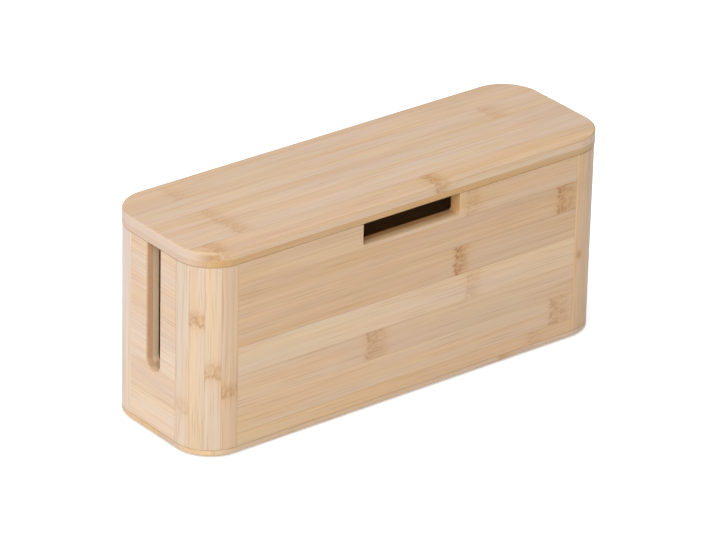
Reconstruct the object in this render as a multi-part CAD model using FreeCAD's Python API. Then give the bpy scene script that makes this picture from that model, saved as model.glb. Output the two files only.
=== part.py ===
import FreeCAD, Part
import math
import os

from FreeCAD import Vector

# A bamboo cable box: a long box with rounded corners, a lift-off lid, an open-topped
# slot in each end for the leads and a low cut-out in the front under the lid.
# X runs along the box, the front looks towards -Y, and Z points up from the surface
# that the four pads stand on. The origin is under the middle of the box.
# All lengths are in millimetres.

# Outside of the box
box_length = 320.0
box_width = 100.0
box_height = 138.0  # from the underside of the bottom board to the top of the lid
corner_radius = 26.0

# Boards
wall_thickness = 9.5
bottom_thickness = 4.0
lid_thickness = 10.0
lid_overhang = 0.3
post_flat = 1.0  # flat strip beside the round on each outer face of a corner post

# Tongue-and-groove joint between the panels and the posts
tongue_thickness = 3.0
tongue_length = 5.0
glue_gap = 0.1

# End slots and front cut-out
slot_width = 13.5
slot_bottom_height = 43.0  # lowest point of the slot above the bottom board's underside
cutout_length = 75.5
cutout_depth = 14.5
cutout_corner_radius = 2.0
opening_ease = 0.6  # bevel along the edges that leads and fingers touch, on the outside
inner_opening_ease = 0.3  # and on the inside

# Sanded edges
lid_top_round = 1.2
lid_bottom_bevel = 0.5
bottom_edge_bevel = 0.8
seam_ease = 0.3  # fine bevel along every outer edge that meets another board

# Battens under the lid, which keep it from sliding off
batten_width = 15.0
batten_thickness = 6.0
batten_lead_in = 1.5
lid_clearance = 1.0

# Countersunk screws that hold the bottom board to the posts
screw_length = 18.0
screw_radius = 1.5
screw_head_radius = 3.0
screw_point_length = 3.0
screw_clearance = 0.05

# Stick-on pads
pad_radius = 6.0
pad_thickness = 1.5
pad_bevel = 0.4
pad_from_end = 32.0
pad_from_side = 16.0

# How far a cutting shape runs past the face that it cuts
overrun = 2.0

# Levels and half sizes that several pieces share
half_length = box_length / 2
half_width = box_width / 2
underside = pad_thickness
floor_top = underside + bottom_thickness
rim = underside + box_height - lid_thickness
wall_height = rim - floor_top
slot_bottom = underside + slot_bottom_height
post_size = corner_radius + post_flat

# Sides and corners of the box, a quarter turn from each to the next, anticlockwise
# seen from above
quarter_turn = 90.0
sides = ["front", "right", "back", "left"]
corners = ["front_left", "front_right", "back_right", "back_left"]


def box(low, high):
    """Block between two opposite corners."""
    size = high.sub(low)
    return Part.makeBox(size.x, size.y, size.z, low)


def turned(shape, quarters):
    """Copy of a shape, turned about the Z axis by a number of quarter turns."""
    copy = shape.copy()
    copy.rotate(Vector(0, 0, 0), Vector(0, 0, 1), quarters * quarter_turn)
    return copy


def moved(shape, x, y, z):
    """Copy of a shape, moved by a distance along each axis."""
    copy = shape.copy()
    copy.translate(Vector(x, y, z))
    return copy


def corner_place(corner, inset_x, inset_y):
    """Plan position at a distance inside the two outer faces that meet at a corner."""
    x = half_length - inset_x
    y = half_width - inset_y
    return (x if "right" in corner else -x, y if "back" in corner else -y)


def prism(edges, along):
    """Solid swept straight from a closed outline of edges."""
    return Part.Face(Part.Wire(edges)).extrude(along)


def polyline(points):
    """Straight edges from each point to the next."""
    return [Part.makeLine(a, b) for a, b in zip(points, points[1:])]


def edges_at(shape, wanted):
    """Edges of a shape whose middle point passes the test called wanted."""
    found = []
    for edge in shape.Edges:
        middle = edge.valueAt((edge.FirstParameter + edge.LastParameter) / 2)
        if wanted(middle):
            found.append(edge)
    return found


def near(a, b):
    """Whether two lengths are the same to well within the finest bevel."""
    return abs(a - b) < seam_ease / 100


def corner_arc(centre, radius, start_quarter):
    """Quarter circle in plan, anticlockwise from a number of quarter turns."""
    points = []
    for step in range(3):
        angle = math.radians(quarter_turn * (start_quarter + step / 2))
        reach = Vector(radius * math.cos(angle), radius * math.sin(angle), 0)
        points.append(centre.add(reach))
    return Part.Arc(*points).toShape()


def rounded_board(length, width, radius, low, thickness):
    """Board centred on the Z axis, with quarter-round corners in plan."""
    edges = []
    x = length / 2 - radius
    y = width / 2 - radius
    centres = [Vector(x, y, low), Vector(-x, y, low), Vector(-x, -y, low), Vector(x, -y, low)]
    for quarter, centre in enumerate(centres):
        edges.append(corner_arc(centre, radius, quarter))
    outline = []
    for edge, following in zip(edges, edges[1:] + edges[:1]):
        outline.append(edge)
        outline.append(Part.makeLine(edge.lastVertex().Point, following.firstVertex().Point))
    return prism(outline, Vector(0, 0, thickness))


# Lid and its battens


def make_lid():
    """Lid board: sits flat on the rim, rounded along its upper edge, bevelled below."""
    top = rim + lid_thickness
    board = rounded_board(
        box_length + 2 * lid_overhang,
        box_width + 2 * lid_overhang,
        corner_radius + lid_overhang,
        rim,
        lid_thickness,
    )
    board = board.makeFillet(lid_top_round, edges_at(board, lambda p: near(p.z, top)))
    return board.makeChamfer(lid_bottom_bevel, edges_at(board, lambda p: near(p.z, rim)))


def make_batten(side):
    """Cross batten glued under the lid; side is -1 at the left and 1 at the right."""
    outer = half_length - post_size - lid_clearance
    reach = half_width - wall_thickness - lid_clearance
    low = Vector(outer - batten_width, -reach, rim - batten_thickness)
    high = Vector(outer, reach, rim)
    batten = box(low, high)
    batten = batten.makeChamfer(batten_lead_in, edges_at(batten, lambda p: near(p.z, low.z)))
    return turned(batten, 1 - side)


# Panels: drawn with the outer face on Y = 0 and the board behind it


def opening_outline(half_size, depth, radius):
    """Edges down one side of an open-topped notch, round its foot and up again."""
    foot = rim - depth
    low_arc = foot + radius
    bend = radius * (1 - math.cos(math.radians(quarter_turn / 2)))
    right_bend = Vector(half_size - bend, 0, foot + bend)
    left_bend = Vector(bend - half_size, 0, foot + bend)
    right_top = Vector(half_size, 0, rim)
    right_low = Vector(half_size, 0, low_arc)
    right_foot = Vector(half_size - radius, 0, foot)
    left_foot = Vector(radius - half_size, 0, foot)
    left_low = Vector(-half_size, 0, low_arc)
    left_top = Vector(-half_size, 0, rim)
    edges = [Part.makeLine(right_top, right_low)]
    edges.append(Part.Arc(right_low, right_bend, right_foot).toShape())
    if right_foot.x > left_foot.x:
        edges.append(Part.makeLine(right_foot, left_foot))
    edges.append(Part.Arc(left_foot, left_bend, left_low).toShape())
    edges.append(Part.makeLine(left_low, left_top))
    return edges


def panel_board(half_span, notch):
    """Board between two posts. notch is None or (half size, depth, radius)."""
    if notch:
        top = polyline([Vector(half_span, 0, rim), Vector(notch[0], 0, rim)])
        top += opening_outline(*notch)
        top += polyline([Vector(-notch[0], 0, rim), Vector(-half_span, 0, rim)])
    else:
        top = polyline([Vector(half_span, 0, rim), Vector(-half_span, 0, rim)])
    rest = [
        Vector(-half_span, 0, rim),
        Vector(-half_span, 0, floor_top),
        Vector(half_span, 0, floor_top),
        Vector(half_span, 0, rim),
    ]
    board = prism(top + polyline(rest), Vector(0, wall_thickness, 0))
    return ease_panel(board, half_span, notch)


def ease_panel(board, half_span, notch):
    """Bevel the notch's edges on both faces, and the outer face's other edges finely."""
    if notch:
        half_size, depth, _ = notch

        def on_notch(p, face):
            inside = abs(p.x) < half_size + seam_ease and rim - depth - seam_ease < p.z < rim
            return inside and near(p.y, face)

        outer_edges = edges_at(board, lambda p: on_notch(p, 0))
        board = board.makeChamfer(opening_ease, outer_edges)
        inner_edges = edges_at(board, lambda p: on_notch(p, wall_thickness))
        board = board.makeChamfer(inner_opening_ease, inner_edges)

    def on_outer_face(p):
        edge_of_span = near(abs(p.x), half_span) or near(p.z, rim) or near(p.z, floor_top)
        return near(p.y, 0) and edge_of_span

    return board.makeChamfer(seam_ease, edges_at(board, on_outer_face))


def make_tongue(half_span):
    """Tongue along the right-hand edge of a panel, from the bottom board to the rim."""
    middle = wall_thickness / 2
    low = Vector(half_span - overrun, middle - tongue_thickness / 2, floor_top)
    high = Vector(half_span + tongue_length, middle + tongue_thickness / 2, rim)
    return box(low, high)


def make_panel(side, notch=None):
    """Panel on a named side of the box, with a tongue along each upright edge."""
    lengthwise = side in ("front", "back")
    half_span = (half_length if lengthwise else half_width) - post_size
    distance = half_width if lengthwise else half_length
    tongue = make_tongue(half_span)
    mirrored = tongue.mirror(Vector(0, 0, 0), Vector(1, 0, 0))
    panel = panel_board(half_span, notch).fuse([tongue, mirrored]).removeSplitter()
    return turned(moved(panel, 0, -distance, 0), sides.index(side))


# Corner posts: drawn with the outside corner of their square on the Z axis


def post_outline():
    """Plan of a post: quarter round outside, flat bevel inside between the panels."""
    centre = Vector(corner_radius, corner_radius, floor_top)
    round_face = corner_arc(centre, corner_radius, 2)
    points = [
        round_face.lastVertex().Point,
        Vector(post_size, 0, floor_top),
        Vector(post_size, wall_thickness, floor_top),
        Vector(wall_thickness, post_size, floor_top),
        Vector(0, post_size, floor_top),
        round_face.firstVertex().Point,
    ]
    return [round_face] + polyline(points)


def groove_cutter():
    """Slot for a panel's tongue in the post's face towards +X."""
    middle = wall_thickness / 2
    half_slot = tongue_thickness / 2 + glue_gap
    low = Vector(post_size - tongue_length - glue_gap, middle - half_slot, floor_top - overrun)
    high = Vector(post_size + overrun, middle + half_slot, rim + overrun)
    return box(low, high)


def ease_post(post):
    """Bevel the post's outer edges: both ends and where each panel meets it."""

    def on_outside(p):
        at_end = near(p.z, floor_top) or near(p.z, rim)
        round_or_flat = p.x < corner_radius and p.y < corner_radius
        on_round = round_or_flat and near(
            math.hypot(p.x - corner_radius, p.y - corner_radius), corner_radius
        )
        on_flat = near(p.x, 0) or near(p.y, 0)
        at_panel = near(p.x, post_size) or near(p.y, post_size)
        return (at_end and (on_round or on_flat)) or (on_flat and at_panel)

    return post.makeChamfer(seam_ease, edges_at(post, on_outside))


def screw_inset():
    """Distance of a post's screw from both outer faces: the middle of its section."""
    round_point = corner_radius * (1 - math.cos(math.radians(quarter_turn / 2)))
    bevel_point = (post_size + wall_thickness) / 2
    return (round_point + bevel_point) / 2


def make_post(corner):
    """Post at a named corner, with two grooves and a hole for the screw."""
    post = ease_post(prism(post_outline(), Vector(0, 0, wall_height)))
    groove = groove_cutter()
    other = groove.mirror(Vector(0, 0, 0), Vector(1, -1, 0))
    inset = screw_inset()
    depth = screw_length - bottom_thickness + screw_clearance
    start = Vector(inset, inset, floor_top - overrun)
    hole = Part.makeCylinder(screw_radius + screw_clearance, depth + overrun, start)
    post = post.cut([groove, other, hole])
    return moved(turned(post, corners.index(corner)), *corner_place(corner, 0, 0), 0)


# Bottom board, screws and pads


def at_each_screw(shape):
    """Copies of a shape drawn on the Z axis, one under the middle of each post."""
    inset = screw_inset()
    return [moved(shape, *corner_place(corner, inset, inset), 0) for corner in corners]


def head_cone():
    """Cone of a countersunk head on the Z axis, flush with the board's underside."""
    height = screw_head_radius - screw_radius
    return Part.makeCone(screw_head_radius, screw_radius, height, Vector(0, 0, underside))


def make_screw():
    """Countersunk wood screw on the Z axis: head, shank and point."""
    tip = underside + screw_length
    shank_length = screw_length - screw_point_length
    shank = Part.makeCylinder(screw_radius, shank_length, Vector(0, 0, underside))
    point_start = Vector(0, 0, tip - screw_point_length)
    point = Part.makeCone(screw_radius, screw_radius / 5, screw_point_length, point_start)
    return shank.fuse([head_cone(), point]).removeSplitter()


def make_screws():
    """The four screws of the bottom board, as one group of separate solids."""
    return Part.makeCompound(at_each_screw(make_screw()))


def make_bottom():
    """Bottom board: flush with the walls, with a countersunk hole under each post."""
    board = rounded_board(box_length, box_width, corner_radius, underside, bottom_thickness)
    board = board.makeChamfer(bottom_edge_bevel, edges_at(board, lambda p: near(p.z, underside)))
    board = board.makeChamfer(seam_ease, edges_at(board, lambda p: near(p.z, floor_top)))
    start = Vector(0, 0, underside - overrun)
    shaft = Part.makeCylinder(screw_radius + screw_clearance, bottom_thickness + 2 * overrun, start)
    return board.cut(at_each_screw(shaft.fuse(head_cone())))


def make_pad(corner):
    """Round stick-on pad near a corner of the bottom board, bevelled at its lower edge."""
    pad = Part.makeCylinder(pad_radius, pad_thickness)
    pad = pad.makeChamfer(pad_bevel, edges_at(pad, lambda p: near(p.z, 0)))
    return moved(pad, *corner_place(corner, pad_from_end, pad_from_side), 0)


def make_parts():
    """Every piece of the box by its node's name."""
    slot = (slot_width / 2, rim - slot_bottom, slot_width / 2)
    cutout = (cutout_length / 2, cutout_depth, cutout_corner_radius)
    parts = {
        "lid": make_lid(),
        "lid_batten_left": make_batten(-1),
        "lid_batten_right": make_batten(1),
        "front_panel": make_panel("front", cutout),
        "back_panel": make_panel("back"),
        "left_end_panel": make_panel("left", slot),
        "right_end_panel": make_panel("right", slot),
        "bottom_board": make_bottom(),
        "bottom_screws": make_screws(),
    }
    for corner in corners:
        parts["post_" + corner] = make_post(corner)
        parts["pad_" + corner] = make_pad(corner)
    return parts


os.makedirs("parts", exist_ok=True)
for name, shape in make_parts().items():
    shape.exportStep("parts/" + name + ".step")
    print(name, "solids", len(shape.Solids), "valid", shape.isValid(), "volume", round(shape.Volume))
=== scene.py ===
# %% [markdown]
# # A bamboo cable box, dressed for its picture
#
# The real object is a long box of laminated bamboo. Four straight walls are tongued into four
# rounded corner posts, a thin board closes the bottom, and a thick lid lies loose on the rim. A
# lead leaves through an open slot in each end, and a cut-out under the lid lets fingers in.
#
# The pieces come in at their real size and place as a fixed frame. What is left to do is their
# look: bamboo with its strips, fibres and culm nodes, cut wood where a tool went across the
# fibres, steel screws, rubber pads, light and a camera.

# %% Load the frame
import math

import bpy
import numpy as np
from mathutils import Matrix, Vector


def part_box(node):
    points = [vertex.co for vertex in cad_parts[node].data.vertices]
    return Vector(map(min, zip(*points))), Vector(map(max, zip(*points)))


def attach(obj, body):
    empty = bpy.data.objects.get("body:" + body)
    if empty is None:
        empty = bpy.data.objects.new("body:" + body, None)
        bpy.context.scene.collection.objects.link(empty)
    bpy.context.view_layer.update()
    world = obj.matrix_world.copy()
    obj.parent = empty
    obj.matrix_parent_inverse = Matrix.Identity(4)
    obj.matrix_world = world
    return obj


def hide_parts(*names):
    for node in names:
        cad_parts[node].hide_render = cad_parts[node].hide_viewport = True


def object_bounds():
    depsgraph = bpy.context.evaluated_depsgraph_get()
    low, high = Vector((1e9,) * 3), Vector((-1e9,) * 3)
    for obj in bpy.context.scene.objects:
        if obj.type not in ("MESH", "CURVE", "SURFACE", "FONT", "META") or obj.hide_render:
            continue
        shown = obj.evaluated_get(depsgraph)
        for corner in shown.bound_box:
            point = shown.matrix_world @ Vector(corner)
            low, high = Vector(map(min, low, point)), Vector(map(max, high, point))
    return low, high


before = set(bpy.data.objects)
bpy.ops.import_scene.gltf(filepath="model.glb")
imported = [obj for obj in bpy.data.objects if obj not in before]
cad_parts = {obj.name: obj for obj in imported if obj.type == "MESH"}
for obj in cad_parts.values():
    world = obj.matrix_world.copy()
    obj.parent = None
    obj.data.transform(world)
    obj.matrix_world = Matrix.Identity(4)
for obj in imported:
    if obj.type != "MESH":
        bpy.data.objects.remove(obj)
cad_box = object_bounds()
MM = 0.001
print(len(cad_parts), "pieces in the frame")
print("box size in mm:", [round((high - low) / MM, 1) for low, high in zip(*cad_box)])

# %% [markdown]
# ## Short words for shader nodes
#
# A procedural material is a chain of small sums. Written out with Blender's own calls, each sum
# takes four or five lines, and the idea is lost among them. So a few helpers come first: one adds
# a node and fills its sockets with either a number or the output of another node, and the rest
# name the sums that wood needs, such as a soft step or a stretched noise.


# %% Helpers for shader nodes
def fill(tree, socket, value):
    """Links an output to the socket, or sets the socket's own value."""
    if isinstance(value, bpy.types.NodeSocket):
        tree.links.new(value, socket)
    else:
        socket.default_value = value


def add_node(tree, kind, sockets=None, **settings):
    """Adds a shader node with its settings, and fills the sockets named or numbered in a dict."""
    made = tree.nodes.new("ShaderNode" + kind)
    for name, value in settings.items():
        setattr(made, name, value)
    for key, value in (sockets or {}).items():
        fill(tree, made.inputs[key], value)
    return made


def calc(tree, operation, *values):
    """One sum of one, two or three values."""
    return add_node(tree, "Math", dict(enumerate(values)), operation=operation).outputs[0]


def scaled_vector(tree, vector, scale, shift):
    """vector times scale plus shift, each of the three numbers by itself."""
    grown = add_node(tree, "VectorMath", {0: vector, 1: scale}, operation="MULTIPLY").outputs[0]
    return add_node(tree, "VectorMath", {0: grown, 1: shift}, operation="ADD").outputs[0]


print("first helpers ready")

# %% [markdown]
# ## Masks and noises
#
# Three shapes of curve do nearly all the work. A soft step turns a distance into an edge that is
# neither hard nor smeared. A bell marks what lies near one place. A stretched noise has grains
# that are far longer one way than the other two, which is how wood differs from cloud. Needles
# are the same idea with sharp ends: each is a thin ellipsoid round a random point.

# %% Masks, noises and mixes
MIX_SOCKETS = {"FLOAT": (2, 3, 0), "RGBA": (6, 7, 2)}


def soft_step(tree, value, start, end):
    """0 up to start, 1 from end on, with an S curve between them; end may lie below start."""
    sockets = {"Value": value, "From Min": start, "From Max": end}
    made = add_node(tree, "MapRange", sockets, interpolation_type="SMOOTHSTEP")
    return made.outputs["Result"]


def bell(tree, value, width):
    """exp(-(value / width) squared): 1 at zero, and soon 0 past the width."""
    ratio = calc(tree, "DIVIDE", value, width)
    square = calc(tree, "MULTIPLY", ratio, ratio)
    return calc(tree, "EXPONENT", calc(tree, "MULTIPLY", square, -1.0))


def stretched_noise(tree, vector, lengths, shift, detail=2.0, roughness=0.5):
    """Noise whose grains are as long as the three lengths, in metres along X, Y and Z.

    shift moves the pattern, detail adds finer grains and roughness makes these stronger."""
    moved = scaled_vector(tree, vector, tuple(1.0 / length for length in lengths), shift)
    sockets = {"Vector": moved, "Scale": 1.0, "Detail": detail, "Roughness": roughness}
    return add_node(tree, "TexNoise", sockets).outputs["Fac"]


def needles(tree, vector, lengths, shift, thick, thin):
    """1 inside random needles, 0 outside; thick and thin are shares of the three lengths."""
    moved = scaled_vector(tree, vector, tuple(1.0 / length for length in lengths), shift)
    cells = add_node(tree, "TexVoronoi", {"Vector": moved, "Scale": 1.0})
    return soft_step(tree, cells.outputs["Distance"], thick, thin)


def mix(tree, kind, share, first, second):
    """first where share is 0 and second where it is 1.

    The Mix node keeps the sockets of all its kinds at once, so they are found by number."""
    from_socket, to_socket, result = MIX_SOCKETS[kind]
    sockets = {0: share, from_socket: first, to_socket: second}
    return add_node(tree, "Mix", sockets, data_type=kind).outputs[result]


def mix_colour(tree, share, first, second):
    """A mix of two colours."""
    return mix(tree, "RGBA", share, first, second)


def mix_value(tree, share, first, second):
    """A mix of two numbers."""
    return mix(tree, "FLOAT", share, first, second)


print("masks and noises ready")

# %% [markdown]
# ## Groups
#
# An effect that several boards share is built once, as a node group with named inputs and
# outputs, and each material places the group with its own values. A later change to the group
# then reaches every board at once. Two more helpers make such a group and place it.


# %% Helpers for groups
def new_group(name, inputs, outputs):
    """An empty shader group; inputs and outputs are (name, kind) pairs, kind Float, Vector or Color."""
    group = bpy.data.node_groups.new(name, "ShaderNodeTree")
    for direction, sockets in (("INPUT", inputs), ("OUTPUT", outputs)):
        for title, kind in sockets:
            group.interface.new_socket(title, in_out=direction, socket_type="NodeSocket" + kind)
    given = group.nodes.new("NodeGroupInput").outputs
    wanted = group.nodes.new("NodeGroupOutput").inputs
    return group, given, wanted


def use_group(tree, group, sockets):
    """Places a group in a tree with its sockets filled, and returns its outputs."""
    made = tree.nodes.new("ShaderNodeGroup")
    made.node_tree = group
    for title, value in sockets.items():
        fill(tree, made.inputs[title], value)
    return made.outputs


print("group helpers ready")

# %% [markdown]
# ## Strips
#
# Board bamboo is never one piece: it is strips about 20 mm wide, glued side by side, and two
# such layers are glued face to face. Each strip keeps its own tone, because each came from
# another stalk. A photograph of a board could be wrapped round every piece, but then all of them
# would show the same strips, and none on its cut edges. Counting gives each board its own, right
# through the wood. So the first group counts strips across a board and layers through it. It
# gives the number of the strip that a point lies in, how far across that strip it is, and the
# thin line of the glue joint. The second layer is set over by half a strip, as bricks are.

# %% Group: strips and glue joints
GLUE_LINE = 0.35 * MM
LAYER_LINE_SHARE = 0.35
LAYER_NUMBERS = 50.5

strips_group, given, wanted = new_group(
    "bamboo strips",
    [("Vector", "Vector"), ("Strip Width", "Float"), ("First Joint", "Float"), ("Layer Joint", "Float")],
    [("Strip", "Float"), ("Within", "Float"), ("Joint", "Float"), ("Layer", "Float")],
)
tree = strips_group
place = add_node(tree, "SeparateXYZ", {0: given["Vector"]}).outputs
above_layer = calc(tree, "SUBTRACT", place["Z"], given["Layer Joint"])
layer = calc(tree, "LESS_THAN", above_layer, 0.0)
from_first = calc(tree, "SUBTRACT", place["Y"], given["First Joint"])
in_strips = calc(tree, "DIVIDE", from_first, given["Strip Width"])
in_strips = calc(tree, "ADD", in_strips, calc(tree, "MULTIPLY", layer, LAYER_NUMBERS))
strip_number = calc(tree, "FLOOR", in_strips)
within = calc(tree, "SUBTRACT", calc(tree, "FRACT", in_strips), 0.5)
from_joint = calc(tree, "SUBTRACT", 0.5, calc(tree, "ABSOLUTE", within))
strip_line = soft_step(tree, calc(tree, "MULTIPLY", from_joint, given["Strip Width"]), GLUE_LINE, 0.0)
layer_line = soft_step(tree, calc(tree, "ABSOLUTE", above_layer), GLUE_LINE, 0.0)
layer_line = calc(tree, "MULTIPLY", layer_line, LAYER_LINE_SHARE)
fill(tree, wanted["Strip"], strip_number)
fill(tree, wanted["Within"], calc(tree, "MULTIPLY", within, 2.0))
fill(tree, wanted["Joint"], calc(tree, "MAXIMUM", strip_line, layer_line))
fill(tree, wanted["Layer"], layer)
print(strips_group.name, "has", len(strips_group.nodes), "nodes")

# %% [markdown]
# ## Fibres
#
# Inside a strip run thousands of fibre bundles, each a brown thread under a millimetre thick and
# some centimetres long. A wave texture could draw them, but as even stripes that never end.
# Needles that are stretched along the board begin and end at random, and they are round in the
# other two directions. So a face cut along the board shows lines and a face cut across it shows
# dots, as real bamboo does, with no extra work. Two noises give the softer lines of a planed
# face and the slow streaks, and two slower ones let the colour drift to straw or to honey, and
# to rose or to green. The strip's number moves all of them, so that no fibre runs on over a
# glue joint.

# %% Group: fibres, lines and streaks
NEEDLE = (60.0 * MM, 1.15 * MM, 1.15 * MM)
NEEDLE_THICK = 0.40
NEEDLE_THIN = 0.12
LINE = (95.0 * MM, 1.9 * MM, 1.9 * MM)
STREAK = (170.0 * MM, 5.5 * MM, 5.5 * MM)
DRIFT = (130.0 * MM, 12.0 * MM, 12.0 * MM)
ROSE = (80.0 * MM, 14.0 * MM, 14.0 * MM)
WAVE = (45.0 * MM, 9.0 * MM, 9.0 * MM)
WAVE_HEIGHT = 1.1 * MM
STRIP_SHIFT = 7.31
SEED_SHIFT = 13.7
LINE_RANGE = (0.32, 0.68)
SLOW_RANGE = (0.30, 0.70)

fibres_group, given, wanted = new_group(
    "bamboo fibres",
    [("Vector", "Vector"), ("Strip", "Float"), ("Seed", "Float"), ("Waviness", "Float")],
    [(title, "Float") for title in ("Fibre", "Line", "Streak", "Drift", "Rose")],
)
tree = fibres_group
across_shift = calc(tree, "MULTIPLY", given["Strip"], STRIP_SHIFT)
seed_shift = calc(tree, "MULTIPLY", given["Seed"], SEED_SHIFT)
shift = add_node(tree, "CombineXYZ", {0: seed_shift, 1: across_shift, 2: seed_shift}).outputs[0]
wave = calc(tree, "SUBTRACT", stretched_noise(tree, given["Vector"], WAVE, shift, detail=1.0), 0.5)
wave = calc(tree, "MULTIPLY", calc(tree, "MULTIPLY", wave, given["Waviness"]), WAVE_HEIGHT)
aside = add_node(tree, "CombineXYZ", {1: wave, 2: wave}).outputs[0]
waved = add_node(tree, "VectorMath", {0: given["Vector"], 1: aside}, operation="ADD").outputs[0]
fibre = needles(tree, waved, NEEDLE, shift, NEEDLE_THICK, NEEDLE_THIN)
line = stretched_noise(tree, waved, LINE, shift, roughness=0.6)
streak = stretched_noise(tree, waved, STREAK, shift, detail=1.5)
fill(tree, wanted["Fibre"], fibre)
fill(tree, wanted["Line"], soft_step(tree, line, *LINE_RANGE))
fill(tree, wanted["Streak"], soft_step(tree, streak, *SLOW_RANGE))
for title, lengths in (("Drift", DRIFT), ("Rose", ROSE)):
    slow = stretched_noise(tree, given["Vector"], lengths, shift, detail=1.0)
    fill(tree, wanted[title], soft_step(tree, slow, *SLOW_RANGE))
print(fibres_group.name, "has", len(fibres_group.nodes), "nodes")

# %% [markdown]
# ## Culm nodes
#
# A bamboo stalk is hollow, with a closed ring every hand's width or two. Planed flat, a ring
# shows as a brown mark right across one strip: two or three ragged columns where the fibres
# swerve, broken by short pale dashes like the rungs of a ladder, on a patch of warmer wood. These
# marks are what makes bamboo look like bamboo. A noise with a high threshold would give brown
# blots at random, but never one that stops at the glue joint. So the group draws one for each
# strip, at the distance along the board that the strip is given. A noise only shifts each
# fibre's part of the columns, which makes them ragged.

# %% Group: culm nodes
RAG = (50.0 * MM, 1.7 * MM, 1.7 * MM)
RAGGED = 9.0 * MM
BOW = 1.5 * MM
COLUMN_GAP = 3.2 * MM
COLUMN_WEIGHTS = (1.0, 0.8, 0.5)
COLUMN = 1.5 * MM
PATCH = 5.0 * MM
HALO = 8.0 * MM
DASH = (5.0 * MM, 1.6 * MM, 1.6 * MM)
CLOUD = (14.0 * MM, 5.0 * MM, 5.0 * MM)
PLACE_SHIFT = 10.0
DASH_RANGE = (0.38, 0.56)
COLUMN_IN_DASH = 0.25
PATCH_REACH = (0.05, 0.60)
CLOUD_REACH = (0.3, 1.5)

node_group, given, wanted = new_group(
    "culm node",
    [("Vector", "Vector"), ("Within", "Float"), ("Place", "Float"), ("Strength", "Float"), ("Seed", "Float")],
    [("Mark", "Float"), ("Halo", "Float")],
)
tree = node_group
along = add_node(tree, "SeparateXYZ", {0: given["Vector"]}).outputs["X"]
place_shift = calc(tree, "MULTIPLY", given["Place"], PLACE_SHIFT)
shift = add_node(tree, "CombineXYZ", {0: given["Seed"], 1: given["Seed"], 2: place_shift}).outputs[0]
rag = calc(tree, "SUBTRACT", stretched_noise(tree, given["Vector"], RAG, shift), 0.5)
rag = calc(tree, "MULTIPLY", rag, RAGGED)
bow = calc(tree, "MULTIPLY", calc(tree, "MULTIPLY", given["Within"], given["Within"]), BOW)
from_node = calc(tree, "SUBTRACT", along, given["Place"])
from_column = calc(tree, "ADD", calc(tree, "ADD", from_node, rag), bow)
dashes = soft_step(tree, stretched_noise(tree, given["Vector"], DASH, shift), *DASH_RANGE)
columns = 0.0
for number, weight in enumerate(COLUMN_WEIGHTS):
    from_this = calc(tree, "SUBTRACT", from_column, (number - 1) * COLUMN_GAP)
    column = calc(tree, "MULTIPLY", bell(tree, from_this, COLUMN), weight)
    columns = calc(tree, "MAXIMUM", column, columns)
columns = calc(tree, "MULTIPLY", columns, mix_value(tree, dashes, COLUMN_IN_DASH, 1.0))
patch = calc(tree, "MULTIPLY", bell(tree, from_node, PATCH), mix_value(tree, dashes, *PATCH_REACH))
mark = calc(tree, "MAXIMUM", columns, patch)
cloud = stretched_noise(tree, given["Vector"], CLOUD, shift, detail=1.0)
cloud = mix_value(tree, cloud, *CLOUD_REACH)
halo = calc(tree, "MULTIPLY", bell(tree, from_node, HALO), cloud)
fill(tree, wanted["Mark"], calc(tree, "MULTIPLY", mark, given["Strength"]))
fill(tree, wanted["Halo"], calc(tree, "MULTIPLY", halo, given["Strength"]))
print(node_group.name, "has", len(node_group.nodes), "nodes")

# %% [markdown]
# ## Pin knots and stains
#
# Two marks belong to no culm node: a pin knot on the right front post, about as wide as a match,
# and a honey-coloured stain that runs over the near corner of the lid. Paint on the surface would
# have to be fitted to the rounded edge. So each is a small ellipsoid in the wood, given by its
# middle and its three radii, and shows wherever the surface cuts it. A noise makes its edge
# ragged.

# %% Group: spots
SPOT_RAG = (3.0 * MM, 2.0 * MM, 2.0 * MM)
SPOT_SHIFT = (9.0, 8.0, 7.0)
SPOT_EDGE = (1.2, 0.4)

spot_group, given, wanted = new_group(
    "spot",
    [("Vector", "Vector"), ("Place", "Vector"), ("Radii", "Vector"), ("Strength", "Float")],
    [("Spot", "Float")],
)
tree = spot_group
away = add_node(tree, "VectorMath", {0: given["Vector"], 1: given["Place"]}, operation="SUBTRACT").outputs[0]
away = add_node(tree, "VectorMath", {0: away, 1: given["Radii"]}, operation="DIVIDE").outputs[0]
distance = add_node(tree, "VectorMath", {0: away}, operation="LENGTH").outputs["Value"]
ragged = stretched_noise(tree, given["Vector"], SPOT_RAG, SPOT_SHIFT)
distance = calc(tree, "ADD", distance, calc(tree, "SUBTRACT", ragged, 0.5))
inside = soft_step(tree, distance, *SPOT_EDGE)
fill(tree, wanted["Spot"], calc(tree, "MULTIPLY", inside, given["Strength"]))
print(spot_group.name, "has", len(spot_group.nodes), "nodes")

# %% [markdown]
# ## Cut wood and eased edges
#
# Where a saw or router went across the fibres, the open ends soak up more lacquer and look
# darker, with dots in place of lines. Those faces could have a material of their own, but each
# would have to be picked by hand. Its direction tells it just as well: a face that is cut across
# looks along the board. Every edge was broken with sandpaper, and the light on such a rounded
# edge would draw a white line, so the edge gets painted shade: a darker tan that damps the
# highlight. On a square board such an edge is the only face that looks along none of the three
# directions. On a round one only its tilt up or down can tell it, so the group takes a share
# between the two measures.

# %% Group: cut wood and eased edges
CUT_RANGE = (0.55, 0.95)
BETWEEN_FACES_RANGE = (0.97, 0.80)
HALF_UP_RANGE = (0.05, 0.22)

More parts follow.
